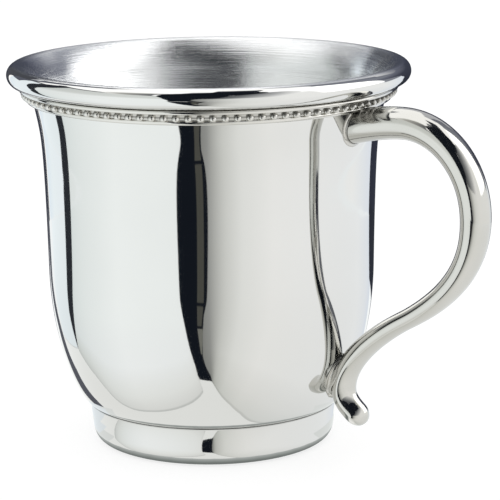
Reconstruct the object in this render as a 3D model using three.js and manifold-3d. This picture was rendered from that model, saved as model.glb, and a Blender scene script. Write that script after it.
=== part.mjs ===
// Baby cup in polished pewter: a spun bowl with a rolled lip, a beaded border under it, a drum foot
// and a cast S-scroll handle, with the solder that joins them. Millimetres, +Z up, table at z = 0.
import * as THREE from "three";
import { mergeVertices } from "three/addons/utils/BufferGeometryUtils.js";
import Module from "manifold-3d";

const wasm = await Module();
wasm.setup();

const degrees = THREE.MathUtils.degToRad;
const point = (r, z) => new THREE.Vector2(r, z);
const direction = (angle) => point(Math.cos(degrees(angle)), Math.sin(degrees(angle)));

// Overall sizes
const lipDiameter = 70;
const cupHeight = 67;
const bowlWall = 1.5;

// Rolled lip and the flare that carries the beaded border
const lipRollRadius = 1.75;
const rollJoinAngle = -118; // where the outside of the flare runs into the roll, round its centre
const flareAngle = 55; // steepness of the flare above the horizontal

// Bowl: a flat base, a round shoulder above the foot, a nearly straight wall and a narrow neck
const baseHeight = 4.4;
const baseRadius = 14;
const seamStep = 0.2; // how far the bowl stands out over the foot
const seamHeight = 7.3;
const seamAngle = 34;
const waistRadius = 28.53;
const waistHeight = 31;
const waistAngle = 89.1;
const neckAngle = 80; // lean of the wall where it meets the flare
const seamPull = 2.1; // how long the wall keeps its lean above the seam
const shoulderRound = 0.58; // share of the way up to the waist over which the shoulder turns upright
const wallPulls = [0.86, 0.22]; // the wall stays straight most of the way up, then leans out

// Beaded border: a strip with a plain round edge on each side and a row of beads between them
const bandWidth = 3.0;
const bandFloor = 0.42; // thickness of the strip under the beads
const lowerEdgeRadius = 0.45;
const upperEdgeRadius = 0.38;
const beadCount = 100;
const beadDiameter = 1.25;
const bandLipClearance = 0.2;

// Drum foot, spun with its lower edge turned in
const footTopRadius = 22.0;
const footTaper = 0.62; // from the top of the drum down to the start of the turned edge
const footTurnHeight = 2.9;
const footKnuckleInset = 0.55; // corner that the turned edge rounds off, in from the drum
const footKnuckleHeight = 0.9;
const footTurnIn = 2.43; // from the start of the turned edge in to the standing face
const standingWidth = 1.65;
const footWall = 1.4;

// Cast handle: an oval bar, thickest at the arch and thinnest above the lower bend
const handleJointDrop = 3.1; // from the neck's edge down to the middle of the joint
const handleJointAngle = 12;
const handleArchReach = 39.2;
const handleArchRise = 1.2;
const handleReach = 55.2;
const handleReachDrop = 14.9; // from the arch down to the outermost point
const handleBendReach = 39.5;
const handleBendHeight = 25.8;
const handleBendAngle = -150;
const handleSeatHeight = 12.3;
const handleSeatFlat = 0.27; // depth filed off the lower bend so that it lies against the bowl
const tailOut = 2.5;
const tailDrop = 4.3;
const tailAngle = -40;
const jointRadius = 3.1;
const archRadius = 2.86;
const reachRadius = 2.65;
const bendRadius = 1.8;
const seatRadius = 2.08;
const tailRadius = 2.1;
const barThin = 0.935; // half thickness in the handle's own plane, as a share of the radius
const barBroad = 1.12; // half width to its sides

// How far each curve of the handle keeps to its end directions, as a share of its height
const loopPulls = [0.49, 0.44];
const bendPulls = [0.54, 0.36];
const tailPulls = [0.47, 0.45];
const roundPull = 0.5523; // share of a half axis with which a cubic curve follows a quarter ellipse
const evenPull = 1 / 3; // share of a span for a gently bent curve

// Solder
const solderGap = 0.15; // clearance on each side of a solder film
const seamGap = 0.3; // clearance of the foot and its fillet, straight up to the bowl
const solderFilm = 0.4;
const solderFillet = 0.5; // how far the solder shows round the handle
const footFilletLeg = 1.3;

// Facets
const ringFacets = 64;
const barFacets = 14;
const beadFacets = 6;
const beadRows = 3;
const shoulderSteps = 6;
const wallSteps = 4;
const cornerSteps = 4;
const rollSteps = 9;

// A cubic curve between two points, leaving and arriving along given directions.
function sweep(from, fromAngle, fromPull, to, toAngle, toPull, steps) {
  const start = from.clone().addScaledVector(direction(fromAngle), fromPull);
  const end = to.clone().addScaledVector(direction(toAngle), -toPull);
  return new THREE.CubicBezierCurve(from, start, end, to).getPoints(steps);
}

// Points on an arc round a centre, from one angle to another.
function arc(centre, radius, fromAngle, toAngle, steps) {
  return Array.from({ length: steps + 1 }, (_, i) =>
    centre.clone().addScaledVector(direction(fromAngle + ((toAngle - fromAngle) * i) / steps), radius),
  );
}

// The profile moved sideways by a distance to its left, along the normal at each point.
function offset(profile, distance) {
  return profile.map((p, i) => {
    const before = profile[Math.max(i - 1, 0)];
    const after = profile[Math.min(i + 1, profile.length - 1)];
    const heading = after.clone().sub(before).normalize();
    return point(p.x - heading.y * distance, p.y + heading.x * distance);
  });
}

// The radius of a rising profile at a height, or its height at a radius.
function along(profile, key, value, wanted) {
  const i = Math.max(1, profile.findIndex((p) => p[key] >= value));
  const [a, b] = [profile[i - 1], profile[i]];
  return THREE.MathUtils.lerp(a[wanted], b[wanted], (value - a[key]) / (b[key] - a[key]));
}

// A profile in radius and height, turned about the cup's axis.
function turn(profile) {
  return new THREE.LatheGeometry(profile, ringFacets).rotateX(Math.PI / 2);
}

// A closed ring of section, which ends where it starts.
const turnLoop = (profile) => turn([...profile, profile[0]]);

// Solids for joining and cutting
function solid(geometry) {
  const bare = geometry.clone();
  bare.deleteAttribute("normal");
  bare.deleteAttribute("uv");
  const merged = mergeVertices(bare, 1e-4);
  const triVerts = [];
  for (let i = 0; i < merged.index.count; i += 3) {
    const [a, b, c] = merged.index.array.subarray(i, i + 3);
    if (a !== b && b !== c && c !== a) triVerts.push(a, b, c);
  }
  const vertProperties = merged.attributes.position.array;
  const mesh = new wasm.Mesh({ numProp: 3, vertProperties, triVerts: new Uint32Array(triVerts) });
  return new wasm.Manifold(mesh);
}

function geometryOf(made) {
  const mesh = made.getMesh();
  return new THREE.BufferGeometry()
    .setAttribute("position", new THREE.BufferAttribute(mesh.vertProperties, 3))
    .setIndex(new THREE.BufferAttribute(mesh.triVerts, 1))
    .toNonIndexed();
}

// Bowl: the outside from the middle of the base up to the neck
const rollCentre = point(lipDiameter / 2 - lipRollRadius, cupHeight - lipRollRadius);
const flareUp = direction(flareAngle);
const flareOut = direction(flareAngle - 90);
const flareTop = rollCentre.clone().addScaledVector(direction(rollJoinAngle), lipRollRadius);
const neck = flareTop.clone().addScaledVector(flareUp, -bandWidth - bandLipClearance);
const base = point(baseRadius, baseHeight);
const seam = point(footTopRadius + seamStep, seamHeight);
const waist = point(waistRadius, waistHeight);
const basePull = (seam.x - baseRadius) / 2;
const shoulderPull = (waistHeight - seamHeight) * shoulderRound;
const [waistPull, neckPull] = wallPulls.map((share) => share * (neck.y - waistHeight));
const outerWall = [
  ...sweep(base, 0, basePull, seam, seamAngle, basePull / 2, cornerSteps),
  ...sweep(seam, seamAngle, seamPull, waist, waistAngle, shoulderPull, shoulderSteps).slice(1),
  ...sweep(waist, waistAngle, waistPull, neck, neckAngle, neckPull, wallSteps).slice(1),
];
const wallRadius = (z) => along(outerWall, "y", z, "x");
const bowlHeight = (r) => along(outerWall, "x", r, "y");

function bowlProfile() {
  const innerWall = offset(outerWall, bowlWall);
  const innerNeck = innerWall.at(-1);
  const rollAngle = flareAngle + 90;
  const roll = arc(rollCentre, lipRollRadius, rollJoinAngle, rollAngle, rollSteps);
  const pull = innerNeck.distanceTo(roll.at(-1)) * evenPull;
  const innerFlare = sweep(innerNeck, neckAngle, pull, roll.at(-1), flareAngle, pull, cornerSteps);
  return [
    point(0, baseHeight),
    ...outerWall,
    ...roll,
    ...innerFlare.slice(1, -1).reverse(),
    ...innerWall.reverse(),
    point(0, baseHeight + bowlWall),
  ];
}

// Beaded border: its own section is drawn along the flare, s up it and t out from it
const onFlare = (s, t) => neck.clone().addScaledVector(flareUp, s).addScaledVector(flareOut, t);

function beadBand() {
  const lower = onFlare(lowerEdgeRadius, solderGap + bandFloor);
  const upper = onFlare(bandWidth - upperEdgeRadius, solderGap + bandFloor);
  const section = [
    onFlare(0, solderGap),
    ...arc(lower, lowerEdgeRadius, flareAngle + 180, flareAngle + 360, cornerSteps),
    ...arc(upper, upperEdgeRadius, flareAngle - 180, flareAngle, cornerSteps),
    onFlare(bandWidth, solderGap),
  ];
  const bead = onFlare(bandWidth / 2, solderGap + beadDiameter / 2);
  let band = solid(turnLoop(section));
  for (let i = 0; i < beadCount; i++) {
    const ball = new THREE.SphereGeometry(beadDiameter / 2, beadFacets, beadRows)
      .rotateX(Math.PI / 2)
      .rotateY(degrees(180 - flareAngle))
      .translate(bead.x, 0, bead.y)
      .rotateZ((2 * Math.PI * i) / beadCount);
    band = band.add(solid(ball));
  }
  return geometryOf(band);
}

// Foot: the outside down from the seam, and the inside a wall's thickness in from it
const underBowl = (r) => bowlHeight(r) - seamGap;
const footDrumRadius = footTopRadius - footTaper;
const standingOuterRadius = footDrumRadius - footTurnIn;
const standingInnerRadius = standingOuterRadius - standingWidth;
const footInnerTop = point(footTopRadius - footWall, underBowl(footTopRadius - footWall));
const footInnerTurn = point(footDrumRadius - footWall, footTurnHeight);
const footInnerWall = (z) => along([footInnerTurn, footInnerTop], "y", z, "x");

function footProfile() {
  const top = point(footTopRadius, underBowl(footTopRadius));
  const turnStart = point(footDrumRadius, footTurnHeight);
  const turnEnd = point(standingOuterRadius, 0);
  const knuckle = point(footDrumRadius - footKnuckleInset, footKnuckleHeight);
  const turned = new THREE.QuadraticBezierCurve(turnStart, knuckle, turnEnd).getPoints(cornerSteps);
  const outside = [top, ...turned];
  const inside = offset(turned, -footWall).slice(0, -1);
  return [
    ...outside.reverse(),
    footInnerTop,
    ...inside,
    point(standingInnerRadius, footWall),
    point(standingInnerRadius, 0),
  ];
}

// Solder fillet in the corner between the bowl's underside and the inside of the foot
function footFillet() {
  const outer = footInnerTop.x - seamGap;
  const inner = outer - footFilletLeg;
  const low = underBowl(outer) - footFilletLeg;
  return [
    point(outer, underBowl(outer)),
    point(inner, underBowl(inner)),
    point(footInnerWall(low) - seamGap, low),
  ];
}

// Handle: the middle line of the bar, in the plane of the axis, and the bar's radius at each curve's ends
const standOff = solderFilm + 2 * solderGap;
const jointHeight = neck.y - handleJointDrop;
const joint = point(wallRadius(jointHeight), jointHeight);
const archTop = point(handleArchReach, jointHeight + handleArchRise);
const outermost = point(handleReach - barThin * reachRadius, archTop.y - handleReachDrop);
const bend = point(handleBendReach, handleBendHeight);
const seatReach = wallRadius(handleSeatHeight) + standOff + barThin * seatRadius - handleSeatFlat;
const seat = point(seatReach, handleSeatHeight);
const tail = point(seat.x + tailOut, seat.y - tailDrop);
const archPull = (archTop.x - joint.x) * evenPull;
const roundPulls = [roundPull * (outermost.x - archTop.x), roundPull * (archTop.y - outermost.y)];
const pulls = (shares, from, to) => shares.map((share) => share * (from.y - to.y));
const handleLine = [
  { radius: jointRadius, from: joint, angle: handleJointAngle, pull: [archPull, archPull], steps: 5 },
  { radius: archRadius, from: archTop, angle: 0, pull: roundPulls, steps: 9 },
  { radius: reachRadius, from: outermost, angle: -90, pull: pulls(loopPulls, outermost, bend), steps: 10 },
  { radius: bendRadius, from: bend, angle: handleBendAngle, pull: pulls(bendPulls, bend, seat), steps: 8 },
  { radius: seatRadius, from: seat, angle: -90, pull: pulls(tailPulls, seat, tail), steps: 5 },
  { radius: tailRadius, from: tail, angle: tailAngle },
];

// Rings of the bar along its line, from inside the bowl's wall to the round end of the tail
function handleRings() {
  const rings = [];
  const inward = direction(handleJointAngle).multiplyScalar(-bowlWall);
  rings.push({ centre: joint.clone().add(inward), angle: handleJointAngle, radius: jointRadius });
  for (let i = 0; i + 1 < handleLine.length; i++) {
    const [a, b] = [handleLine[i], handleLine[i + 1]];
    const leave = a.from.clone().addScaledVector(direction(a.angle), a.pull[0]);
    const arrive = b.from.clone().addScaledVector(direction(b.angle), -a.pull[1]);
    const curve = new THREE.CubicBezierCurve(a.from, leave, arrive, b.from);
    for (let k = i ? 1 : 0; k <= a.steps; k++) {
      const t = k / a.steps;
      const heading = curve.getTangent(t);
      rings.push({
        centre: curve.getPoint(t),
        angle: THREE.MathUtils.radToDeg(Math.atan2(heading.y, heading.x)),
        radius: THREE.MathUtils.lerp(a.radius, b.radius, t),
      });
    }
  }
  return rings;
}

// The bar as a closed skin, made thicker all round by a growth.
function handleBar(growth) {
  const rings = handleRings().map((ring) => ({ ...ring, radius: ring.radius + growth }));
  const end = rings.at(-1);
  for (let k = 1; k < cornerSteps; k++) {
    const turned = (90 * k) / cornerSteps;
    const ahead = direction(end.angle).multiplyScalar(end.radius * Math.sin(degrees(turned)));
    const radius = end.radius * Math.cos(degrees(turned));
    rings.push({ centre: end.centre.clone().add(ahead), angle: end.angle, radius });
  }
  const tip = end.centre.clone().addScaledVector(direction(end.angle), end.radius);
  const places = [];
  for (const { centre, angle, radius } of rings) {
    const across = direction(angle + 90);
    for (let k = 0; k < barFacets; k++) {
      const round = (2 * Math.PI * k) / barFacets;
      const out = barThin * radius * Math.cos(round);
      const sideways = barBroad * radius * Math.sin(round);
      places.push(centre.x + across.x * out, sideways, centre.y + across.y * out);
    }
  }
  const first = places.length / 3;
  const last = first + 1;
  places.push(rings[0].centre.x, 0, rings[0].centre.y, tip.x, 0, tip.y);
  const faces = [];
  for (let k = 0; k < barFacets; k++) {
    const next = (k + 1) % barFacets;
    faces.push(first, k, next);
    for (let j = 0; j + 1 < rings.length; j++) {
      const [near, far] = [j * barFacets, (j + 1) * barFacets];
      faces.push(near + k, far + next, near + next, near + k, far + k, far + next);
    }
    const rim = (rings.length - 1) * barFacets;
    faces.push(rim + k, last, rim + next);
  }
  const bar = new THREE.BufferGeometry();
  bar.setAttribute("position", new THREE.Float32BufferAttribute(places, 3));
  return bar.setIndex(faces);
}

// The bowl's outside, grown by a distance, carried straight up past the joint and filled to the axis.
function bowlGrown(distance) {
  const grown = offset(outerWall, -distance);
  const top = neck.y + jointRadius;
  return solid(turn([point(0, grown[0].y), ...grown, point(grown.at(-1).x, top), point(0, top)]));
}

// The space that the beaded border needs, grown by a distance and filled back into the flare.
function borderSpace(distance) {
  const thick = solderGap + bandFloor + lowerEdgeRadius + distance;
  const back = -bowlWall;
  const section = [
    onFlare(-distance, back),
    onFlare(-distance, thick),
    onFlare(bandWidth, thick),
    onFlare(bandWidth, back),
  ];
  return solid(turnLoop(section));
}

// A film of solder on the bowl, as wide as the bar and its fillet, between two heights.
function solderPad(low, high) {
  const near = offset(outerWall, -solderGap).filter((p) => p.y > low && p.y < high);
  const film = [point(wallRadius(low) + solderGap, low), ...near, point(wallRadius(high) + solderGap, high)];
  const face = film.map((p) => point(p.x + solderFilm, p.y));
  const pad = solid(turnLoop([...face, ...film.reverse()]));
  return pad.intersect(solid(handleBar(solderFillet))).subtract(borderSpace(solderGap));
}

function handle() {
  const bar = solid(handleBar(0));
  return geometryOf(bar.subtract(bowlGrown(standOff)).subtract(borderSpace(2 * solderGap)));
}

const padReach = 2.5; // heights of a pad above and below its joint, in radii of the bar
const upperPad = () => solderPad(jointHeight - padReach * jointRadius, neck.y);
const lowerPad = () => solderPad(seat.y - padReach * seatRadius, seat.y + 2 * padReach * seatRadius);

// Materials
const finish = (color, roughness) => new THREE.MeshStandardMaterial({ color, roughness, metalness: 1 });
const polished = 0xdcdad3;
const cast = 0xd2cfc6;
const soldered = 0xc4c2bb;

// The cup, with its axis set back so that the origin lies under the middle of the cup and handle
const cup = new THREE.Group();
cup.position.x = -(handleReach - lipDiameter / 2) / 2;

function addPiece(name, geometry, color, roughness) {
  geometry.computeVertexNormals();
  const piece = new THREE.Mesh(geometry, finish(color, roughness));
  piece.name = name;
  cup.add(piece);
}

addPiece("cup_body", turn(bowlProfile()), polished, 0.06);
addPiece("bead_band", beadBand(), cast, 0.15);
addPiece("foot_ring", turnLoop(footProfile()), polished, 0.08);
addPiece("foot_solder_ring", turnLoop(footFillet()), soldered, 0.35);
addPiece("handle", handle(), cast, 0.1);
addPiece("handle_upper_solder", geometryOf(upperPad()), soldered, 0.3);
addPiece("handle_lower_solder", geometryOf(lowerPad()), soldered, 0.3);

const part = new THREE.Group();
part.add(cup);

export default part;
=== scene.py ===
# Baby cup in polished pewter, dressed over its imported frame. Shapes are worked out in millimetres.
import bpy
import numpy as np
from mathutils import Matrix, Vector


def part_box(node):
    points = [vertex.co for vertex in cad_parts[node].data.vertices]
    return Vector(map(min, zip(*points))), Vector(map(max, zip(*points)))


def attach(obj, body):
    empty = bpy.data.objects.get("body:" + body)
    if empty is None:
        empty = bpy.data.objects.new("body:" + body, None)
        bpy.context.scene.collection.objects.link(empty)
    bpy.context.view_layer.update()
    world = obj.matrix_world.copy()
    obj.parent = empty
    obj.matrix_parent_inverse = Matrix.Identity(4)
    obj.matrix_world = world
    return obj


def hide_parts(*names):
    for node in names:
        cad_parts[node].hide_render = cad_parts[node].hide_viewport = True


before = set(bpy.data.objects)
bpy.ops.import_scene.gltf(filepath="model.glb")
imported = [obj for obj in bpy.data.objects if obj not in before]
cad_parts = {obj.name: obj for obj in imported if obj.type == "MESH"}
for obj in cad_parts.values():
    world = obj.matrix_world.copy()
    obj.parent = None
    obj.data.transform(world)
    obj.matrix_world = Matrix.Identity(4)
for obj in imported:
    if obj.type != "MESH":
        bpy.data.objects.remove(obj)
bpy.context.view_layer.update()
print("frame loaded:", ", ".join(sorted(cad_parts)))

mm = 0.001
bodyLow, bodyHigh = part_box("cup_body")
axisX = (bodyLow.x + bodyHigh.x) / 2 / mm  # the cup's own axis, on the -X side of the frame's origin
tiny = 1e-6  # a ring no wider than this is a pole
none, full = np.zeros((1, 1)), np.ones((1, 1))  # a mark that is 0 or 1 all over a piece


# shapes

def heading(angle):
    # unit step (radius, height) at an angle above the horizontal
    return np.array([np.cos(np.radians(angle)), np.sin(np.radians(angle))])


def sweepLine(start, startAngle, startPull, end, endAngle, endPull, count):
    # cubic from start to end, leaving and arriving along the two angles
    a, d = np.array(start, float), np.array(end, float)
    b, c = a + heading(startAngle) * startPull, d - heading(endAngle) * endPull
    t = np.linspace(0, 1, count)[:, None]
    return (1 - t) ** 3 * a + 3 * (1 - t) ** 2 * t * b + 3 * (1 - t) * t ** 2 * c + t ** 3 * d


def roundLine(start, corner, end, count):
    # quadratic from start to end, pulled towards a corner
    a, b, c = np.array(start, float), np.array(corner, float), np.array(end, float)
    t = np.linspace(0, 1, count)[:, None]
    return (1 - t) ** 2 * a + 2 * (1 - t) * t * b + t ** 2 * c


def arcLine(centre, radius, fromAngle, toAngle, count):
    # points at one radius round a centre, from one angle to another
    turned = np.radians(np.linspace(fromAngle, toAngle, count))
    return np.array(centre) + radius * np.stack([np.cos(turned), np.sin(turned)], 1)


def unitRows(rows):
    return rows / np.linalg.norm(rows, axis=-1, keepdims=True)


def sideLine(line, distance):
    # the line moved to its left, along the normal at each point
    step = unitRows(np.gradient(line, axis=0))
    return line + distance * np.stack([-step[:, 1], step[:, 0]], 1)


def runLength(line):
    # distance from the first point, along the line
    return np.concatenate([[0], np.cumsum(np.linalg.norm(np.diff(line, axis=0), axis=1))])


def skin(rings, closed=False, finish=0, **marks):
    # ring i joined to ring i + 1 by quads, each ring closed on itself; a ring shrunk to one point is a pole.
    # u runs along the rings' length and v round them, and a mark is a value for each ring or each point.
    rows, cols = rings.shape[:2]
    index = np.arange(rows * cols).reshape(rows, cols)
    shrunk = np.ptp(rings, axis=1).max(1) < tiny
    index[shrunk] = index[shrunk, :1]
    i, j = np.meshgrid(np.arange(rows if closed else rows - 1), np.arange(cols), indexing="ij")
    nextI, nextJ = (i + 1) % rows, (j + 1) % cols
    corners = [index[i, j], index[i, nextJ], index[nextI, nextJ], index[nextI, j]]
    length = np.append(runLength(rings[:, 0]), 0)
    if closed:
        length[-1] = length[-2] + np.linalg.norm(rings[0, 0] - rings[-1, 0])
    u = [length[i], length[i], length[i + 1], length[i + 1]]
    v = [j / cols, (j + 1) / cols, (j + 1) / cols, j / cols]
    marks["run"] = length[:rows, None]
    return {
        "points": rings.reshape(-1, 3),
        "corners": np.stack(corners, -1).reshape(-1, 4),
        "uv": np.stack([np.stack(u, -1) / length.max(), np.stack(v, -1)], -1).reshape(-1, 4, 2),
        "finish": np.full(i.size, finish),
        "marks": {k: np.broadcast_to(m, (rows, cols)).ravel() for k, m in marks.items()},
    }


def spin(profile, turns):
    # each profile point (radius r, height z) goes round the cup's axis: (axis + r cos a, r sin a, z)
    a = np.linspace(0, 2 * np.pi, turns, endpoint=False)
    r, z = profile[:, :1], profile[:, 1:]
    return np.stack([axisX + r * np.cos(a), r * np.sin(a), np.repeat(z, turns, 1)], -1)


def addPiece(name, parts, finishes, nodeName):
    # parts joined into one mesh; corners that fall together make triangles, and unused points are dropped
    shift = np.cumsum([0] + [len(p["points"]) for p in parts[:-1]])
    points = np.concatenate([p["points"] for p in parts])
    corners = np.concatenate([p["corners"] + s for p, s in zip(parts, shift)])
    finishAt = np.concatenate([p["finish"] for p in parts])
    used, corners = np.unique(corners, return_inverse=True)
    corners = corners.reshape(-1, 4)
    keep = corners != np.roll(corners, 1, 1)
    sizes = keep.sum(1)
    mesh = bpy.data.meshes.new(name)
    mesh.vertices.add(len(used))
    mesh.loops.add(int(sizes.sum()))
    mesh.polygons.add(len(corners))
    mesh.vertices.foreach_set("co", (points[used] * mm).ravel())
    mesh.loops.foreach_set("vertex_index", corners[keep].astype(np.int32))
    mesh.polygons.foreach_set("loop_start", (np.cumsum(sizes) - sizes).astype(np.int32))
    mesh.polygons.foreach_set("use_smooth", np.ones(len(corners), bool))
    mesh.polygons.foreach_set("material_index", finishAt.astype(np.int32))
    uvMap = mesh.uv_layers.new(name="along")
    uvMap.data.foreach_set("uv", np.concatenate([p["uv"] for p in parts])[keep].ravel())
    for mark in sorted({k for p in parts for k in p["marks"]}):
        values = [p["marks"].get(mark, np.zeros(len(p["points"]))) for p in parts]
        stored = mesh.attributes.new(mark, "FLOAT", "POINT")
        stored.data.foreach_set("value", np.concatenate(values)[used].astype(np.float32))
    mesh.update(calc_edges=True)
    mesh.validate()
    for finish in finishes:
        mesh.materials.append(finish)
    piece = bpy.data.objects.new(name, mesh)
    bpy.context.scene.collection.objects.link(piece)
    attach(piece, "root")
    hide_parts(nodeName)
    print(name, "made:", len(used), "points,", int((sizes - 2).sum()), "triangles")


# finishes

def hexLinear(code):
    # sRGB hex to linear red, green, blue, alpha
    srgb = np.array([int(code[k:k + 2], 16) for k in (1, 3, 5)]) / 255
    flat = np.where(srgb <= 0.04045, srgb / 12.92, ((srgb + 0.055) / 1.055) ** 2.4)
    return (*flat.tolist(), 1.0)


def addNode(tree, kind, inputs=(), **settings):
    # a node of that kind with its settings; an input takes a value or another node's output
    made = tree.nodes.new("ShaderNode" + kind)
    for key, value in settings.items():
        setattr(made, key, value)
    for key, value in dict(inputs).items():
        if isinstance(value, bpy.types.NodeSocket):
            tree.links.new(value, made.inputs[key])
        else:
            made.inputs[key].default_value = value
    return made.outputs


def newFinish(name):
    finish = bpy.data.materials.new(name)
    finish.use_nodes = True
    finish.node_tree.nodes.clear()
    return finish, finish.node_tree


noise = dict(cloudDetail=3.0, grainDetail=4.0, low=0.3, high=0.7)  # nearly all of it lies from low to high


def pewterFinish(name, look):
    # Pewter is a soft tin alloy: a slightly warm grey mirror where it is buffed. Rings or grains stay from
    # the making and show as changes of gloss more than of colour. The mark seam mixes in a darker colour and
    # a set roughness: grey polish where real joints meet, and painted shade on the beads, the border's floor,
    # the top of the handle's root and the upper solder's edges.
    # ringMm is the rings' spacing, or 0 for none; grainMm is the grain's size, or how far a ring goes
    # unbroken; rough and gloss are the roughness where the mark dull is 1 and where it is 0.
    finish, tree = newFinish(name)
    place = addNode(tree, "TexCoord")["Object"]
    cloudAt, grainAt = [
        addNode(tree, "VectorMath", {0: place, "Scale": 1 / (size * mm)}, operation="SCALE")[0]
        for size in (look["cloudMm"], look["grainMm"])]
    clouds = {"Vector": cloudAt, "Scale": 1.0, "Detail": noise["cloudDetail"]}
    cloud = addNode(tree, "TexNoise", clouds)["Fac"]
    grains = {"Vector": grainAt, "Scale": 1.0, "Detail": noise["grainDetail"]}
    if look["ringMm"]:
        run = addNode(tree, "Attribute", attribute_name="run")["Fac"]
        grains["W"] = addNode(tree, "Math", {0: run, 1: 1 / look["ringMm"]}, operation="MULTIPLY")[0]
    grain = addNode(tree, "TexNoise", grains, noise_dimensions="4D" if look["ringMm"] else "3D")["Fac"]
    # the mark seam: grey polish in real joints, and painted shade on the beads, the border's floor, the top
    # of the handle's root and the upper solder's edges
    seam = addNode(tree, "Attribute", attribute_name="seam")["Fac"]
    dull = addNode(tree, "Attribute", attribute_name="dull")["Fac"]
    clean, clouded, dirtAndShade = [hexLinear(look[key]) for key in ("colour", "cloudColour", "seamAndShadeColour")]
    tone = addNode(tree, "Mix", {0: cloud, 6: clean, 7: clouded}, data_type="RGBA")[2]
    wornAndShaded = addNode(tree, "Mix", {0: seam, 6: tone, 7: dirtAndShade}, data_type="RGBA")[2]
    fine, bright = [
        addNode(tree, "MapRange", {0: grain, 1: noise["low"], 2: noise["high"], 3: least, 4: most})[0]
        for least, most in (look["rough"], look["gloss"])]
    rough = addNode(tree, "Mix", {0: dull, 2: bright, 3: fine})[0]
    seamed = addNode(tree, "Mix", {0: seam, 2: rough, 3: look["seamRough"]})[0]
    bumps = {"Strength": look["relief"], "Distance": look["reliefMm"] * mm, "Height": grain}
    relief = addNode(tree, "Bump", bumps)[0]
    shader = {"Base Color": wornAndShaded, "Metallic": 1.0, "Roughness": seamed, "Normal": relief}
    if look["brushed"]:
        shader["Anisotropic"] = look["brushed"]
        shader["Tangent"] = addNode(tree, "Tangent", direction_type="UV_MAP", uv_map="along")[0]
    metal = addNode(tree, "BsdfPrincipled", shader)[0]
    addNode(tree, "OutputMaterial", {"Surface": metal})
    return finish


# Spun pewter buffed to a mirror: reflections stay crisp, and the spinning's rings only just soften them.
polishedPewter = pewterFinish("polishedSpunPewter", dict(
    colour="#dcdcda", cloudColour="#d8d8d6", seamAndShadeColour="#858684", cloudMm=14, ringMm=0.5, grainMm=30,
    rough=(0.03, 0.05), gloss=(0.03, 0.05), seamRough=0.4, relief=0.02, reliefMm=0.01, brushed=0))
# Spun pewter brushed round the inside with abrasive: fine level lines smear what they reflect up and down.
# Such scratches are some 0.05 mm wide, and are drawn at 0.2 mm so that they show.
satinPewter = pewterFinish("brushedSatinPewter", dict(
    colour="#eceded", cloudColour="#e7e8e9", seamAndShadeColour="#77767a", cloudMm=9, ringMm=0.2, grainMm=12,
    rough=(0.19, 0.25), gloss=(0.05, 0.09), seamRough=0.4, relief=1.0, reliefMm=0.07, brushed=1.0))
# Cast pewter buffed bright by hand: a mirror with slow waves, and the mould's fine grain left here and there.
# its dark seam colour is grey polish where the handle meets the wall, and painted shade on top of the
# handle's root
castPewter = pewterFinish("buffedCastPewter", dict(
    colour="#cfceca", cloudColour="#c7c6c0", seamAndShadeColour="#4c4b48", cloudMm=6, ringMm=0, grainMm=0.9,
    rough=(0.05, 0.10), gloss=(0.05, 0.10), seamRough=0.4, relief=0.08, reliefMm=0.02, brushed=0))
# Rolled bead wire: bright on the crowns; its dark seam colour is painted shade on the strip's floor and on
# each bead's upper side.
beadedPewter = pewterFinish("beadedWirePewter", dict(
    colour="#d9d8d4", cloudColour="#cfcdc7", seamAndShadeColour="#34332f", cloudMm=3, ringMm=0, grainMm=0.5,
    rough=(0.06, 0.10), gloss=(0.06, 0.10), seamRough=0.5, relief=0.06, reliefMm=0.02, brushed=0))
# Tin solder wiped while hot: softer and greyer than the pewter, with a slight ripple.
# its dark seam colour is painted shade along the upper solder's edges
tinSolder = pewterFinish("wipedTinSolder", dict(
    colour="#d5d3ce", cloudColour="#c2c0ba", seamAndShadeColour="#34332f", cloudMm=2, ringMm=0, grainMm=0.6,
    rough=(0.14, 0.24), gloss=(0.14, 0.24), seamRough=0.5, relief=0.1, reliefMm=0.03, brushed=0))
print("finishes made:", len(bpy.data.materials))


# bowl

bowl = dict(lipRadius=35, height=67, wall=1.5, roll=1.75, rollJoin=-118, crest=66, rollEnd=132, flare=55,
            band=3.2, base=(14, 4.4), seam=(22.2, 7.3), seamAngle=34, seamPull=2.1, waist=(28.53, 31),
            waistAngle=89.1, shoulder=0.58, neckAngle=80, wallPulls=(0.86, 0.22), swell=0.95,
            swellAt=(30, 52, 62), satinFade=0.35, turns=256)
# points along each stretch of its section
bowlPoints = dict(base=14, shoulder=42, wall=44, flare=7, roll=44, brow=22, mouth=16, middle=9)
rollCentre = np.array([bowl["lipRadius"] - bowl["roll"], bowl["height"] - bowl["roll"]])
flareTop = rollCentre + bowl["roll"] * heading(bowl["rollJoin"])
neck = flareTop - bowl["band"] * heading(bowl["flare"])
basePull = (bowl["seam"][0] - bowl["base"][0]) / 2
shoulderPull = (bowl["waist"][1] - bowl["seam"][1]) * bowl["shoulder"]
waistPull, neckPull = np.array(bowl["wallPulls"]) * (neck[1] - bowl["waist"][1])
baseLine = sweepLine(bowl["base"], 0, basePull, bowl["seam"], bowl["seamAngle"], basePull / 2,
                     bowlPoints["base"])
shoulderLine = sweepLine(bowl["seam"], bowl["seamAngle"], bowl["seamPull"], bowl["waist"], bowl["waistAngle"],
                         shoulderPull, bowlPoints["shoulder"])
wallLine = sweepLine(bowl["waist"], bowl["waistAngle"], waistPull, neck, bowl["neckAngle"], neckPull,
                     bowlPoints["wall"])
outside = np.vstack([baseLine, shoulderLine[1:], wallLine[1:]])


def wallRadius(z):
    # radius of the bowl's outside at a height
    return np.interp(z, outside[:, 1], outside[:, 0])


def bowlHeight(r):
    # height of the bowl's outside at a radius
    return np.interp(r, outside[:, 0], outside[:, 1])


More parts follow.
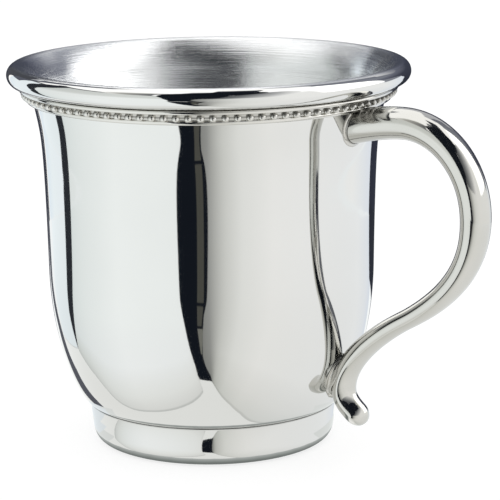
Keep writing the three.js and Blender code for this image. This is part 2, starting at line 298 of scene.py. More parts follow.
def makeBowl():
    # the sheet's section: out along the base, up the wall and flare, over the roll, down the inside to the
    # middle; the wall is a little thicker under the neck, so that its inside goes on flaring there
    low, most, high = bowl["swellAt"]
    share = np.interp(outside[:, 1], (low, most, high), (0, 1, 0))
    below, above = share ** 2 * (3 - 2 * share), np.sin(share * np.pi / 2)
    swell = bowl["swell"] * np.where(outside[:, 1] < most, below, above)
    inside = sideLine(outside, bowl["wall"] + swell[:, None])
    flare = np.linspace(neck, flareTop, bowlPoints["flare"])[1:-1]
    roll = arcLine(rollCentre, bowl["roll"], bowl["rollJoin"], bowl["crest"], bowlPoints["roll"])
    brow = arcLine(rollCentre, bowl["roll"], bowl["crest"], bowl["rollEnd"], bowlPoints["brow"])
    pull = np.linalg.norm(inside[-1] - brow[-1]) / 3
    mouth = sweepLine(brow[-1], bowl["rollEnd"] + 90, pull, inside[-1], bowl["neckAngle"] + 180, pull,
                      bowlPoints["mouth"])
    middle = np.linspace(0, bowl["base"][0], bowlPoints["middle"])[:-1, None]
    under = np.hstack([middle, np.full_like(middle, bowl["base"][1])])
    floor = np.hstack([middle, np.full_like(middle, bowl["base"][1] + bowl["wall"])])[::-1]
    outer = np.vstack([under, outside, flare, roll])
    inner = np.vstack([brow, mouth[1:], inside[::-1][1:], floor])
    dull = np.clip(runLength(inner) / bowl["satinFade"], 0, 1)
    return [
        skin(spin(outer, bowl["turns"]), finish=0, seam=none, dull=none),
        skin(spin(inner, bowl["turns"]), finish=1, seam=none, dull=dull[:, None]),
    ]


addPiece("cupBody", makeBowl(), [polishedPewter, satinPewter], "cup_body")


# beaded border

border = dict(width=3.0, floor=0.57, lowerEdge=0.45, upperEdge=0.38, beads=100, bead=(1.15, 1.4, 1.2),
              beadRise=0.7, floorShade=0.2, floorFade=0.25, lineShade=0.6, lineHalf=0.15, handShade=0.9,
              upperShade=1.1, unshadedShare=0.6, mostShade=0.85, edgePoints=15, floorPoints=9, beadTurns=12,
              beadRows=7, turns=256)
upFlare, offFlare = heading(bowl["flare"]), heading(bowl["flare"] - 90)


def onFlare(up, out):
    # a point so far up the flare from the neck and so far out from it
    return neck + up * upFlare + out * offFlare


def makeStrip():
    # back on the flare, a round edge at each side and a sunk floor
    lower = onFlare(border["lowerEdge"], border["floor"])
    upper = onFlare(border["width"] - border["upperEdge"], border["floor"])
    angle = bowl["flare"]
    floor = np.linspace(lower + border["lowerEdge"] * upFlare, upper - border["upperEdge"] * upFlare,
                        border["floorPoints"])
    section = np.vstack([
        [onFlare(0, 0)],
        arcLine(lower, border["lowerEdge"], angle + 180, angle + 360, border["edgePoints"]),
        floor[1:-1],
        arcLine(upper, border["upperEdge"], angle - 180, angle, border["edgePoints"]),
        [onFlare(border["width"], 0)],
    ])
    # painted shade on the sunk floor, most of all in a line under the beads
    rise, along = (section - neck) @ offFlare, (section - neck) @ upFlare
    sunk = np.clip((border["floor"] + border["floorFade"] - rise) / border["floorFade"], 0, 1)
    between = (along > border["lowerEdge"]) & (along < border["width"] - border["upperEdge"])
    line = np.abs(along - border["width"] / 2) < border["lineHalf"]
    paintedShade = np.maximum(border["floorShade"] * sunk * between, border["lineShade"] * line)
    return skin(spin(section, border["turns"]), closed=True, seam=paintedShade[:, None], dull=full)


def makeBeads():
    # slightly oval balls in a row on the strip's floor
    fall = np.radians(np.linspace(-90, 90, border["beadRows"]))[:, None]
    side = np.linspace(0, 2 * np.pi, border["beadTurns"], endpoint=False)
    rise = np.sin(fall) * np.ones_like(side)
    across, along = np.cos(fall) * np.cos(side), np.cos(fall) * np.sin(side)
    centre = onFlare(border["width"] / 2, border["beadRise"])
    high, long, deep = np.array(border["bead"]) / 2
    r, z = [centre[k] + deep * rise * offFlare[k] - high * across * upFlare[k] for k in (0, 1)]
    turn = 2 * np.pi * np.arange(border["beads"])[:, None, None] / border["beads"]
    x = axisX + r * np.cos(turn) + long * along * np.sin(turn)
    y = r * np.sin(turn) - long * along * np.cos(turn)
    beads = np.stack([x, y, np.broadcast_to(z, x.shape)], -1)
    # painted shade on the upper side of each bead and to one hand of it, standing in for the shade and dark
    # reflection under the lip
    shadeLevel = border["handShade"] * along - border["upperShade"] * across - border["unshadedShare"]
    paintedShade = np.clip(shadeLevel, 0, border["mostShade"])
    return [skin(b, seam=paintedShade, dull=full) for b in beads]


addPiece("beadBorder", [makeStrip(), *makeBeads()], [beadedPewter], "bead_band")


# foot

foot = dict(top=22.0, topLean=13, drum=21.38, drumLean=6, turnHeight=2.9, standing=(18.95, 17.3),
            standLean=10, turnPulls=(1.9, 1.6), wall=1.4, lip=0.1, lipIn=0.03, lipGap=0.05, contactIn=0.13,
            clear=0.02, edge=0.15, seamFade=0.22, seamGrime=0.4, turns=256)
footPoints = dict(turn=28, drum=24, rim=10, top=4)


def makeFoot():
    # section from the standing face out round the turned edge, up the waisted drum, over its lip and down
    # the inside
    top, wall = foot["top"], foot["wall"]
    standOut, standIn = foot["standing"]
    drumAngle, topAngle = 90 - foot["drumLean"], 90 - foot["topLean"]
    drumPull, standPull = foot["turnPulls"]
    turned = sweepLine((standOut, 0), foot["standLean"], standPull, (foot["drum"], foot["turnHeight"]),
                       drumAngle, drumPull, footPoints["turn"])
    lipStart = np.array([top - foot["lipIn"], bowlHeight(top) - foot["lipGap"] - foot["lip"]])
    pull = (lipStart[1] - foot["turnHeight"]) / 3
    drum = sweepLine(turned[-1], drumAngle, pull, lipStart, topAngle, pull, footPoints["drum"])[1:]
    contact = top - foot["contactIn"]
    corner = (top, bowlHeight(contact) - foot["lipGap"])
    rim = roundLine(lipStart, corner, (contact, bowlHeight(contact) - foot["clear"]), footPoints["rim"])[1:]
    innerTop = np.array([top - wall, bowlHeight(top - wall) - foot["clear"]])
    underBowl = np.linspace(rim[-1], innerTop, footPoints["top"])[1:]
    inner = sideLine(turned[::-1], -wall)[:-1]
    edge = np.array([(standIn, wall), (standIn, foot["edge"]), (standIn + foot["edge"], 0)])
    section = np.vstack([turned, drum, rim, underBowl, inner[inner[:, 1] > wall], edge])
    nearSeam = 1 - np.abs(section[:, 1] - rim[-1, 1]) / foot["seamFade"]
    seam = np.clip(nearSeam, 0, foot["seamGrime"]) * (section[:, 0] > innerTop[0])
    return [skin(spin(section, foot["turns"]), closed=True, seam=seam[:, None], dull=none)]


addPiece("drumFoot", makeFoot(), [polishedPewter], "foot_ring")

footFillet = dict(reach=1.69, drop=1.755, topGap=0.05, edgeGap=0.03, lowIn=0.25, hollow=(0.35, 0.4),
                  points=14, turns=160)


def makeFootSolder():
    # concave fillet in the corner between the bowl's underside and the inside of the foot
    outer = foot["top"] - foot["wall"]
    ceiling = bowlHeight(outer)
    innerEdge = outer - footFillet["reach"]
    top = (outer, ceiling - footFillet["topGap"])
    start = (innerEdge, bowlHeight(innerEdge) - footFillet["edgeGap"])
    corner = (outer - footFillet["hollow"][0], ceiling - footFillet["hollow"][1])
    low = (outer - footFillet["lowIn"], ceiling - footFillet["drop"])
    section = np.vstack([[top], roundLine(start, corner, low, footFillet["points"])])
    return [skin(spin(section, footFillet["turns"]), closed=True, seam=none, dull=full)]


addPiece("footSolder", makeFootSolder(), [tinSolder], "foot_solder_ring")


# handle

grip = dict(jointDrop=3.1, jointAngle=12, arch=(39.2, 1.2), reach=55.2, reachDrop=14.9, bend=(39.5, 25.8),
            bendAngle=-150, seatHeight=12.3, seatOff=2.2, tail=(2.45, 4.0), tailAngle=-40,
            radii=(3.1, 2.86, 2.65, 1.8, 2.4, 2.3), loopPulls=(0.49, 0.44), bendPulls=(0.54, 0.36),
            tailPulls=(0.47, 0.45), roundPull=0.5523, thin=0.935, broad=1.12, ridge=0.3,
            ridgeFrom=(0.82, 0.93), tipLength=1.05, sunk=0.5, settle=6.0, rootMm=6.5, rootStart=1.1,
            rootShade=0.72, topGain=2, seamMm=0.5, seamGrime=0.5, sides=56, step=0.3, spanPoints=200,
            smoothing=10, tipRows=14)
wallSearch = dict(rounds=40, share=0.8)  # each round goes that share of the way that is left
jointHeight = neck[1] - grip["jointDrop"]
joint = np.array([wallRadius(jointHeight), jointHeight])
archTop = np.array([grip["arch"][0], jointHeight + grip["arch"][1]])
outermost = np.array([grip["reach"] - grip["thin"] * grip["radii"][2], archTop[1] - grip["reachDrop"]])
bend = np.array(grip["bend"])
seat = np.array([wallRadius(grip["seatHeight"]) + grip["seatOff"], grip["seatHeight"]])
tail = seat + np.array([grip["tail"][0], -grip["tail"][1]])


def gripLine():
    # five cubics from the joint over the arch, down the loop, through the bend and the seat to the tail,
    # in even steps, with the bar's radius at each point and the distance to it
    archPull = (archTop[0] - joint[0]) / 3
    roundPulls = grip["roundPull"] * np.array([outermost[0] - archTop[0], archTop[1] - outermost[1]])
    loopPulls = np.array(grip["loopPulls"]) * (outermost[1] - bend[1])
    bendPulls = np.array(grip["bendPulls"]) * (bend[1] - seat[1])
    tailPulls = np.array(grip["tailPulls"]) * (seat[1] - tail[1])
    pulls = [(archPull, archPull), roundPulls, loopPulls, bendPulls, tailPulls]
    stops = [joint, archTop, outermost, bend, seat, tail]
    angles = [grip["jointAngle"], 0, -90, grip["bendAngle"], -90, grip["tailAngle"]]
    spans = [sweepLine(stops[k], angles[k], pulls[k][0], stops[k + 1], angles[k + 1], pulls[k][1],
                       grip["spanPoints"]) for k in range(len(pulls))]
    line = np.vstack([spans[0]] + [s[1:] for s in spans[1:]])
    share = np.linspace(0, len(pulls), len(line))
    radius = np.interp(share, np.arange(len(stops)), grip["radii"])
    run = runLength(line)
    even = np.linspace(0, run[-1], int(run[-1] / grip["step"]))
    line = np.stack([np.interp(even, run, line[:, k]) for k in (0, 1)], 1)
    padded = np.pad(np.interp(even, run, radius), grip["smoothing"], mode="edge")
    window = np.hanning(2 * grip["smoothing"] + 1)
    return line, np.convolve(padded, window / window.sum(), mode="valid"), even


def toWall(start, along, depth):
    # how far each point goes along a direction until it lies a depth inside the bowl's outside
    go = np.zeros(start.shape[:-1])
    for _ in range(wallSearch["rounds"]):
        at = start + go[..., None] * along
        left = np.hypot(at[..., 0] - axisX, at[..., 1]) - wallRadius(at[..., 2]) + depth
        go -= wallSearch["share"] * left
    return go


def barRings(line, radius, ridge):
    # ovals square to the line, which lies in the plane y = 0: thin across it and broad to both sides;
    # a ridge over 0 draws the oval towards a diamond, by raising its sine and cosine to a higher power
    step = unitRows(np.gradient(line, axis=0))
    across = np.stack([-step[:, 1], np.zeros(len(step)), step[:, 0]], 1)
    side = np.array([0, -1.0, 0])
    a = np.linspace(0, 2 * np.pi, grip["sides"], endpoint=False)
    c, s = [np.sign(w) * np.abs(w) ** (1 + ridge[:, None]) for w in (np.cos(a), np.sin(a))]
    out = grip["thin"] * c[..., None] * across[:, None, :] + grip["broad"] * s[..., None] * side
    middle = np.stack([axisX + line[:, 0], np.zeros(len(line)), line[:, 1]], 1)
    ahead = np.stack([step[:, 0], np.zeros(len(step)), step[:, 1]], 1)
    return middle, out, ahead, middle[:, None] + radius[:, None, None] * out


def makeGrip():
    # the bar's rings, bent at the start to follow the bowl's wall, and a round end on the tail
    line, radius, run = gripLine()
    ridge = grip["ridge"] * np.interp(run / run[-1], grip["ridgeFrom"], (0, 1))
    middle, out, ahead, rings = barRings(line, radius, ridge)
    sunk = toWall(rings[0], ahead[0], grip["sunk"])
    ease = np.clip(1 - run / grip["settle"], 0, 1) ** 2
    rings = rings + (ease[:, None] * sunk)[..., None] * ahead[:, None]
    first = np.broadcast_to(rings[0].mean(0), (1, grip["sides"], 3))
    fall = np.radians(np.linspace(0, 90, grip["tipRows"]))[1:, None, None]
    tip = middle[-1] + radius[-1] * (grip["tipLength"] * np.sin(fall) * ahead[-1] + np.cos(fall) * out[-1])
    rings = np.concatenate([first, rings, tip])
    wall = np.hypot(rings[..., 0] - axisX, rings[..., 1]) - wallRadius(rings[..., 2])
    joined = grip["seamGrime"] * np.clip(1 - wall / grip["seamMm"], 0, 1)
    # painted shade on top of the bar's root, under the border
    fade = np.sqrt(np.clip(grip["rootStart"] - run / grip["rootMm"], 0, 1))[:, None]
    top = np.clip(grip["topGain"] * out[..., 2], 0, 1) * fade
    root = grip["rootShade"] * np.concatenate([top[:1], top, np.zeros((len(tip), grip["sides"]))])
    return [skin(rings, seam=np.maximum(joined, root), dull=full)]


addPiece("scrollHandle", makeGrip(), [castPewter], "handle")


# solder at the handle

upperFillet = dict(wallLeg=0.75, barLeg=0.6, lift=0.03, buried=0.3, edgeShade=0.85, points=12)


def makeUpperSolder():
    # all round the bar, a concave curve from the wall to the bar; its back lies inside both
    line, radius, _ = gripLine()
    _, out, ahead, rings = barRings(line[:2], radius[:2], np.zeros(2))
    contact = rings[0] + toWall(rings[0], ahead[0], 0)[:, None] * ahead[0]
    outward = unitRows(np.stack([contact[:, 0] - axisX, contact[:, 1]], 1))
    lean = np.gradient(outside[:, 0], outside[:, 1])
    slope = np.interp(contact[:, 2], outside[:, 1], lean)
    normal = unitRows(np.stack([outward[:, 0], outward[:, 1], -slope], 1))
    away = unitRows(out[0] - (out[0] * normal).sum(1)[:, None] * normal)
    wallEnd = contact + upperFillet["wallLeg"] * away - upperFillet["lift"] * normal
    barEnd = contact + upperFillet["barLeg"] * ahead[0] + upperFillet["lift"] * out[0]
    t = np.linspace(0, 1, upperFillet["points"])[:, None, None]
    curve = (1 - t) ** 2 * wallEnd + 2 * (1 - t) * t * contact + t ** 2 * barEnd
    inBar = contact - upperFillet["buried"] * out[0] + upperFillet["barLeg"] / 2 * ahead[0]
    inWall = contact - upperFillet["buried"] * normal
    loop = np.concatenate([curve, inBar[None], inWall[None]])
    # painted shade along both edges of the fillet, and on its buried rows
    paintedShade = np.concatenate([upperFillet["edgeShade"] * (2 * t[:, 0] - 1) ** 2, np.ones((2, 1))])
    return [skin(loop, closed=True, seam=paintedShade, dull=full)]


addPiece("upperSolder", makeUpperSolder(), [tinSolder], "handle_upper_solder")

lowerFillet = dict(low=10.2, high=18.4, most=0.75, least=0.02, spread=0.35, runOut=0.35, hollow=0.8,
                   onBar=0.95, buried=0.15, stations=40, flankPoints=8, facePoints=9)


def makeLowerSolder():
    # level slices of the gap between the bar and the wall: as wide as the gap stays under the most that
    # solder bridges, hollow at both sides, wider on the wall, and run out to a point above and below
    line, radius, _ = gripLine()
    late = np.arange(len(line)) > np.argmin(np.linalg.norm(line - bend, axis=1))
    order = np.argsort(line[late, 1])
    z = np.linspace(lowerFillet["low"], lowerFillet["high"], lowerFillet["stations"])[:, None]
    barX = np.interp(z, line[late, 1][order], line[late, 0][order])
    barR = np.interp(z, line[late, 1][order], radius[late][order])
    wallX = wallRadius(z)
    thin, broad = grip["thin"] * barR, grip["broad"] * barR

    def wallSide(y):
        return np.sqrt(wallX ** 2 - y ** 2)

    def barSide(y):
        return barX - thin * np.sqrt(np.clip(1 - (y / broad) ** 2, 0, None))

    gap = barX - thin - wallX
    bulge = thin / (2 * broad ** 2) + 1 / (2 * wallX)
    fade = np.sin(np.pi * np.linspace(0, 1, len(z)))[:, None] ** lowerFillet["runOut"]
    half = np.sqrt(np.clip((lowerFillet["most"] - gap) / bulge, lowerFillet["least"], None)) * fade
    wide = half + lowerFillet["spread"] * fade
    t = np.linspace(0, 1, lowerFillet["flankPoints"])
    s = np.linspace(-1, 1, lowerFillet["facePoints"])
    onWall, onBar = s * wide, -s * half
    flank = (1 - t) ** 2 * wide + 2 * (1 - t) * t * (half * lowerFillet["hollow"]) + t ** 2 * half
    level = t ** 2
    rise = wallSide(flank) * (1 - level) + barSide(np.minimum(flank, lowerFillet["onBar"] * broad)) * level
    inWall, inBar = wallSide(onWall) - lowerFillet["buried"], barSide(onBar) + lowerFillet["buried"]
    x = np.concatenate([inWall, rise, inBar, rise[:, ::-1]], 1)
    y = np.concatenate([onWall, flank, onBar, -flank[:, ::-1]], 1)
    rings = np.stack([axisX + x, y, np.repeat(z, x.shape[1], 1)], -1)
    first, last = [np.broadcast_to(r.mean(0), r.shape)[None] for r in (rings[0], rings[-1])]
    return [skin(np.concatenate([first, rings, last]), seam=none, dull=full)]


addPiece("lowerSolder", makeLowerSolder(), [tinSolder], "handle_lower_solder")


# camera

# fitted to the cup's circles in the photo: lengths in mm, angles in radians, focal length and frame in
# pixels; near and far are in metres, and turned is the handle's turn out of the picture's plane, in degrees
view = dict(distance=421.037, height=123.825, pitch=0.21162, yaw=0.01611, roll=0.01067, focal=2447.55,
            frame=500, sensor=36, turned=35, near=0.01, far=20)
turnBack = np.array(Matrix.Rotation(np.radians(view["turned"]), 3, "Z"))
forward = np.array([np.sin(view["yaw"]) * np.cos(view["pitch"]), np.cos(view["yaw"]) * np.cos(view["pitch"]),
                    -np.sin(view["pitch"])])
right = np.array([np.cos(view["yaw"]), -np.sin(view["yaw"]), 0])
upward = np.cross(right, forward)
rollCos, rollSin = np.cos(view["roll"]), np.sin(view["roll"])
rolledRight, rolledUp = rollCos * right - rollSin * upward, rollSin * right + rollCos * upward
axes = turnBack @ np.stack([rolledRight, rolledUp, -forward], 1)
eye = turnBack @ np.array([0, -view["distance"], view["height"]]) + np.array([axisX, 0, 0])
lens = bpy.data.cameras.new("studioCamera")
lens.sensor_width = view["sensor"]
lens.lens = view["focal"] / view["frame"] * view["sensor"]
lens.clip_start = view["near"]
lens.clip_end = view["far"]
shot = bpy.data.objects.new("studioCamera", lens)
shot.matrix_world = Matrix([[*axes[k], eye[k] * mm] for k in range(3)] + [[0, 0, 0, 1]])
bpy.context.scene.collection.objects.link(shot)
bpy.context.scene.camera = shot


# studio

# The room is given as the camera sees it: x to its right, y away from it and z up, from the foot of the cup's
# axis. White boards stand round the cup, lower than what it stands on, and the dark gaps between them show in
# the metal.
# Pewter gives back some 0.7 of the light, so the boards are lit past white.
studio = dict(boardLight=1.24, boardReach=320, skyMiddle=35, cardSteps=33)


def addStage(name, mesh, finish, seen):
    # a studio piece, with the kinds of ray that see it
    mesh.materials.append(finish)
    stagePiece = bpy.data.objects.new(name, mesh)
    bpy.context.scene.collection.objects.link(stagePiece)
    stagePiece.visible_camera = "camera" in seen
    stagePiece.visible_diffuse = "diffuse" in seen
    stagePiece.visible_glossy = "glossy" in seen
    stagePiece.visible_shadow = "shadow" in seen
    stagePiece.visible_transmission = "glossy" in seen


def cardMesh(card):
    # A sheet between two edges, given at a few stations: columns go from the left edge to the right one, rows
    # from the first station to the last. Round the sky a station is a level above the horizon and an edge a
    # bearing from the camera's side, both in degrees; on a level sheet an edge is a point (x, y).
    steps = studio["cardSteps"]
    stations = np.arange(len(card["left"]))
    row = np.linspace(0, stations[-1], steps)
    left, right = np.array(card["left"], float), np.array(card["right"], float)
    u = np.linspace(0, 1, steps)
    if "levels" in card:
        lift = np.radians(np.interp(row, stations, card["levels"]))[:, None]
        low, high = [np.interp(row, stations, edge)[:, None] for edge in (left, right)]
        bearing = np.radians(low + (high - low) * u)
        x, y = np.cos(lift) * np.sin(bearing), -np.cos(lift) * np.cos(bearing)
        z = np.broadcast_to(np.sin(lift), bearing.shape)
        room = card["distance"] * np.stack([x, y, z], -1) + np.array([0, 0, studio["skyMiddle"]])
    else:
        low, high = [np.stack([np.interp(row, stations, edge[:, k]) for k in (0, 1)], -1)[:, None]
                     for edge in (left, right)]
        flat = low + (high - low) * u[:, None]
        room = np.concatenate([flat, np.full(flat.shape[:2] + (1,), card["height"])], -1)
    points = (room @ turnBack.T + np.array([axisX, 0, 0])) * mm
    i, j = np.meshgrid(np.arange(steps - 1), np.arange(steps - 1), indexing="ij")
    at = (i * steps + j).ravel()
    quads = np.stack([at, at + 1, at + steps + 1, at + steps], -1)
    mesh = bpy.data.meshes.new(card["name"])
    mesh.from_pydata(points.reshape(-1, 3).tolist(), [], quads.tolist())
    uv = np.stack(np.broadcast_arrays(u, u[:, None]), -1).reshape(-1, 2)
    mesh.uv_layers.new(name="card").data.foreach_set("uv", uv[quads.ravel()].ravel())
    return mesh


def glowFinish(name, across, along, light):
    # a lit sheet: one row of colours from its left edge to its right, times another from its first station to
    # its last
    finish, tree = newFinish(name)
    spot = addNode(tree, "SeparateXYZ", {0: addNode(tree, "TexCoord")["UV"]})
    shades = []
    for axis, stops in ((0, across), (1, along)):
        shade = addNode(tree, "ValToRGB", {0: spot[axis]})[0]
        bands = shade.node.color_ramp.elements
        while len(bands) < len(stops):
            bands.new(0.5)
        for band, (place, code) in zip(bands, stops):
            band.position = place
            band.color = hexLinear(code)
        shades.append(shade)
    mixed = {0: 1.0, 6: shades[0], 7: shades[1]}
    both = addNode(tree, "Mix", mixed, data_type="RGBA", blend_type="MULTIPLY")[2]
    glow = addNode(tree, "Emission", {"Color": both, "Strength": light})[0]
    addNode(tree, "OutputMaterial", {"Surface": glow})
    return finish


def atBearings(*bearings, out=studio["boardReach"]):
    # points on a level sheet, so far out at each bearing
    return [(out * np.sin(np.radians(b)), -out * np.cos(np.radians(b))) for b in bearings]


def arcAt(out, first, last):
    return atBearings(*np.linspace(first, last, studio["cardSteps"]), out=out)


def plain(code):
    return [(0.0, code), (1.0, code)]


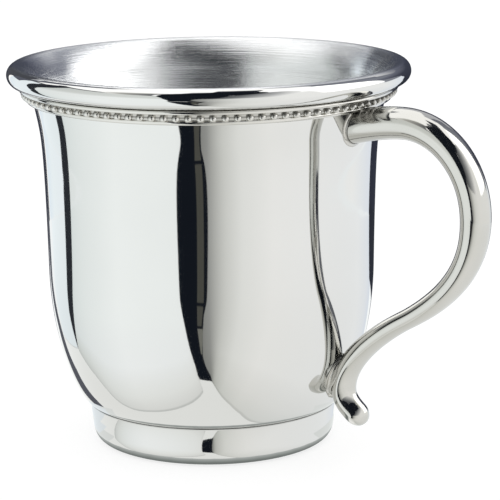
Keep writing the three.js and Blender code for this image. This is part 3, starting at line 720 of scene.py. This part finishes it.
white, navy = plain("#ffffff"), plain("#14181f")
cards = [
    # round the sky
    dict(name="frontFlag", distance=1500, across=navy,
         levels=(-14, -8, 0, 8, 14, 20, 26, 32, 38, 44, 50, 56, 62, 68, 82),
         left=(-23, -22.5, -23, -25, -26, -27, -29, -31, -33, -34, -35, -35, -35, -28, 20),
         right=(-5, -8, -10.5, -8, -2, 5, 8, 10, 12, 20, 36, 47, 51, 51, 50)),
    dict(name="rightSmoke", distance=1550, levels=(10, 24, 36, 46, 56), left=(-4, 5, 11, 22, 42),
         right=(38, 48, 58, 63, 64),
         across=[(0.0, "#44464a"), (0.3, "#7c7e80"), (0.65, "#b8b9ba"), (1.0, "#f4f4f4")]),
    dict(name="rightLight", distance=1600, light=2.05, levels=(9, 62), left=(64, 62), right=(116, 116),
         across=[(0.0, "#c8c8c8"), (0.12, "#ffffff"), (1.0, "#ffffff")]),
    dict(name="leftSmoke", distance=1550, levels=(38, 44, 50, 56, 62), left=(-60, -76, -78, -74, -56),
         right=(-34, -38, -38, -34, -20),
         across=[(0.0, "#f5f5f3"), (0.35, "#b4b4b0"), (0.75, "#8c8c8c"), (1.0, "#5a5c60")]),
    dict(name="leftFlag", distance=1500, across=plain("#2c2f34"),
         levels=(-22, -12, -4, 2, 8, 14, 20, 26, 34, 44),
         left=(-120.5, -120.5, -121, -122, -122.5, -123, -123, -122, -123, -121),
         right=(-113.2, -113.2, -113, -112, -110.5, -108, -105, -103, -103, -106)),
    dict(name="leftLink", distance=1500, across=plain("#54565c"), levels=(22, 26, 29, 32, 34),
         left=(-152, -150, -142, -132, -122), right=(-146, -140, -130, -112, -110)),
    dict(name="backLeftFlag", distance=1500, across=plain("#484a50"),
         levels=(-22, -13, -8, -3, 2, 8, 14, 20, 26, 31),
         left=(-155.5, -156, -157, -159, -164, -168, -172, -173, -173, -168),
         right=(-153, -153.3, -153.5, -153.5, -153.5, -153, -151, -147, -141, -150)),
    dict(name="backRightFlag", distance=1500, across=white, levels=(-17, -14, -10, -4, 2, 8, 14, 20, 26, 31),
         left=(151.5, 145.8, 142.8, 142.5, 138, 136, 126, 117, 117, 118),
         right=(160, 164, 165, 170, 172, 174, 172, 168, 130, 122),
         along=[(0.0, "#282b36"), (0.6, "#3c3f4c"), (0.85, "#6a6d7a"), (1.0, "#80838c")]),
    dict(name="backFlag", distance=1600, across=white, levels=(-18, 4, 14, 24, 34),
         left=(152, 150, 148, 146, 144), right=(202, 206, 212, 214, 216),
         along=[(0.0, "#363943"), (0.5, "#3e414c"), (0.75, "#8a8c94"), (1.0, "#d8d9dc")]),
    dict(name="leftBackHigh", distance=1650, levels=(11, 60), left=(-153, -153), right=(-135, -135),
         across=plain("#585b66")),
    dict(name="rightBackHigh", distance=1650, levels=(4, 60), left=(115, 115), right=(150, 150),
         across=[(0.0, "#8a8d96"), (1.0, "#70737e")]),
    dict(name="backSmoke", distance=1700, levels=(20, 35, 42, 65), left=(140, 140, 141, 135),
         right=(200, 198, 166, 160), across=[(0.0, "#e8e9ec"), (0.3, "#bfc1c6"), (1.0, "#bfc1c6")]),
    dict(name="leftPanel", distance=1800, levels=(-24, 0, 20, 42), left=(-117, -113, -111, -108),
         right=(-20, -20, -24, -34),
         across=[(0.0, "#e6ecec"), (0.3, "#f0f4f4"), (0.65, "#f8fcfc"), (1.0, "#f4f8f8")],
         along=[(0.0, "#ffffff"), (0.4, "#ffffff"), (0.62, "#e4e4e2"), (1.0, "#dededc")]),
    dict(name="leftTop", distance=1750, levels=(41, 45), left=(-125, -125), right=(-60, -60),
         across=plain("#4a4c50")),
    dict(name="rightPanel", distance=1800, levels=(-24, -4, 8, 16, 24, 34), left=(-11, -13, -12, -8, -1, 3),
         right=(146, 146, 138, 128, 118, 110),
         across=[(0.01, "#80817e"), (0.05, "#999a98"), (0.085, "#b5b6b3"), (0.13, "#d3d4d1"),
                 (0.21, "#e9eae8"), (0.36, "#f4f4f3"), (0.8, "#f4f5f5"), (0.9, "#e9edf2"), (1.0, "#dde3ed")]),
    dict(name="backLeftPanel", distance=1700, levels=(-24, 30), left=(-153, -146), right=(-116, -116),
         across=[(0.0, "#dfeaf3"), (0.35, "#eff7fb"), (1.0, "#f2f9ff")]),
    # level, above the cup
    dict(name="overFlag", height=1500, left=[(0, -650), (60, 150)], right=[(520, -650), (380, 150)],
         across=plain("#2c2f36")),
    dict(name="overSmoke", height=1550, left=[(-340, -650), (-140, -250)], right=[(10, -650), (60, -250)],
         across=[(0.0, "#84868a"), (1.0, "#3c3f46")]),
    # level, round the foot and below it
    dict(name="lowBoard", height=-26, left=arcAt(18, 0, 360), right=arcAt(325, 0, 360),
         across=[(0.0, "#e8e9e7"), (0.12, "#e8e9e7"), (0.35, "#eff1f0"), (0.7, "#f2f6f8"), (1.0, "#f2f6f8")]),
    # the floor under the foot as the metal sees it, with the cup's shadow painted into it as grey
    dict(name="underFoot", height=-0.02, left=arcAt(16, 0, 360), right=arcAt(22.3, 0, 360),
         across=[(0.0, "#5a5e5c"), (0.7, "#767b79"), (1.0, "#b4b8b7")]),
    dict(name="standBehind", height=-0.3, left=arcAt(20, 70, 290), right=arcAt(27, 70, 290),
         across=plain("#dcdfde")),
    dict(name="standLeftHigh", height=4, left=arcAt(21.7, 262, 287), right=arcAt(24.6, 262, 287),
         across=plain("#dfe5e9")),
    dict(name="standLeftLow", height=2, left=arcAt(21.5, 264, 286), right=arcAt(24.8, 264, 286),
         across=plain("#dfe5e9")),
    dict(name="leftBoard", height=-25.5,
         left=[(-12, -70), (-7, -59), (-9, -54), (-13, -48), (-19, -41), (-26, -33), (-33, -25), (-40, -16),
               (-50, -8), (-65, 0), (-77, 9), (-90, 25), (-101, 40)],
         right=atBearings(-22, -26, -32, -40, -48, -57, -66, -74, -82, -92, -100, -106, -110),
         across=[(0.0, "#c6c8c6"), (0.005, "#c6c8c6"), (0.007, "#dedfdd"), (0.05, "#eaecea"),
                 (0.15, "#f6f9fa"), (0.4, "#f8fcfc"), (1.0, "#f8fcfc")],
         along=[(0.0, "#fafafa"), (0.5, "#ffffff"), (0.8, "#f2f4f4"), (1.0, "#e6eaea")]),
    dict(name="rightBoard", height=-25.5,
         left=[(-12, -75), (-1, -68), (0, -66), (5, -55), (10, -46), (14, -36), (16, -24), (20, -8), (27, 12),
               (30, 40), (32, 60)],
         right=atBearings(-9, -2.5, 8, 22, 38, 55, 75, 95, 115, 135, 146),
         across=[(0.0, "#d2d3d0"), (0.004, "#d2d3d0"), (0.006, "#e2e3e0"), (0.06, "#eeeeec"),
                 (0.15, "#f8f8f7"), (1.0, "#ffffff")],
         along=[(0.0, "#80817e"), (0.10, "#999a98"), (0.145, "#b5b6b3"), (0.21, "#d3d4d1"), (0.29, "#e9eae8"),
                (0.42, "#f4f4f3"), (0.82, "#f0f2f4"), (1.0, "#d6dde8")]),
    dict(name="backLeftBoard", height=-25.5, left=[(-103, 43), (-101, 60), (-99, 80), (-97, 100)],
         right=atBearings(-116, -124, -133, -143),
         across=[(0.0, "#c6c8c6"), (0.01, "#e6eef2"), (1.0, "#eff7fb")]),
    dict(name="frontGap", height=-25, across=navy,
         left=[(-11, -69), (-13, -72), (-17, -82), (-29, -106), (-45, -140), (-74, -199), (-108, -266),
               (-132, -312)],
         right=[(-1, -68), (-2, -73), (-7, -83), (-11, -95), (-14, -126), (-17, -175), (-12, -260),
                (-8, -320)]),
    dict(name="frontSlatNear", height=-24.8, across=plain("#74746e"),
         left=[(-13, -97), (-24, -140)], right=[(-12, -97), (-15, -140)]),
    dict(name="frontSlatMiddle", height=-24.8, across=plain("#4c4c47"),
         left=[(-25, -146), (-36, -208)], right=[(-18, -146), (-21, -208)]),
    dict(name="frontSlatFar", height=-24.8, across=plain("#4a4a45"),
         left=[(-38, -220), (-47, -296)], right=[(-21.5, -220), (-24, -296)]),
    dict(name="backRightGap", height=-25, across=plain("#2c2f38"),
         left=[(78, 184), (111, 185), (140, 187), (159, 205), (188, 234), (213, 259)],
         right=[(76, 185), (74, 203), (76, 220), (80, 247), (90, 286), (98, 320)]),
    dict(name="backGap", height=-25.2, left=arcAt(140, 158, 202), right=arcAt(335, 158, 202),
         across=[(0.0, "#eceeed"), (0.25, "#94969c"), (0.5, "#50525b"), (1.0, "#3e414a")]),
    dict(name="leftGap", height=-25, across=plain("#2c2f34"),
         left=[(-102, 41.5), *atBearings(-117, out=170), *atBearings(-118, out=335)],
         right=[(-102, 41), *atBearings(-110.5, out=170), *atBearings(-109.3, out=335)]),
    dict(name="backLeftGap", height=-25, across=plain("#565860"),
         left=[(-45, 26), (-46, 43), (-53, 67), (-62, 84), (-71, 106), (-84, 136), (-118, 316)],
         right=[(-46, 20), (-53, 27), (-64, 44), (-74, 59), (-83, 80), (-98, 110), (-158, 298)]),
]
for card in cards:
    light = card.get("light", studio["boardLight"])
    glow = glowFinish(card["name"], card["across"], card.get("along", white), light)
    addStage(card["name"], cardMesh(card), glow, "glossy")

floorLook = dict(far=4000, near=0.5, height=-0.05, rings=16, turns=96, paper="#ffffff", fill=0.77,
                 bounce="#959595")
paper, tree = newFinish("whitePaper")
matte = addNode(tree, "BsdfDiffuse", {"Color": hexLinear(floorLook["bounce"])})[0]
lit = addNode(tree, "Emission", {"Color": hexLinear(floorLook["paper"]), "Strength": floorLook["fill"]})[0]
addNode(tree, "OutputMaterial", {"Surface": addNode(tree, "AddShader", {0: matte, 1: lit})[0]})
radii = np.geomspace(floorLook["far"], floorLook["near"], floorLook["rings"])
floorRings = spin(np.stack([radii, np.full_like(radii, floorLook["height"])], 1), floorLook["turns"])
sheet = skin(floorRings)
floorMesh = bpy.data.meshes.new("whiteFloor")
floorMesh.from_pydata((sheet["points"] * mm).tolist(), [], sheet["corners"].tolist())
addStage("whiteFloor", floorMesh, paper, "camera diffuse shadow")

# the metal sees a room that grows brighter overhead, and everything else an even white one
roof = dict(low=0.42, high=0.68, wallLight=1.22, light=1.45)
world = bpy.data.worlds.new("whiteRoom")
world.use_nodes = True
tree = world.node_tree
tree.nodes.clear()
rays = addNode(tree, "LightPath")
level = addNode(tree, "SeparateXYZ", {0: addNode(tree, "TexCoord")["Generated"]})[2]
rising = {0: level, 1: roof["low"], 2: roof["high"], 3: roof["wallLight"], 4: roof["light"]}
overhead = addNode(tree, "MapRange", rising, interpolation_type="SMOOTHSTEP")[0]
strength = addNode(tree, "Mix", {0: rays["Is Glossy Ray"], 2: 1.0, 3: overhead})[0]
air = addNode(tree, "Background", {"Color": (1, 1, 1, 1), "Strength": strength})[0]
addNode(tree, "OutputWorld", {"Surface": air})
bpy.context.scene.world = world
bpy.context.scene.view_settings.view_transform = "Standard"
print("studio made:", len(cards), "cards")
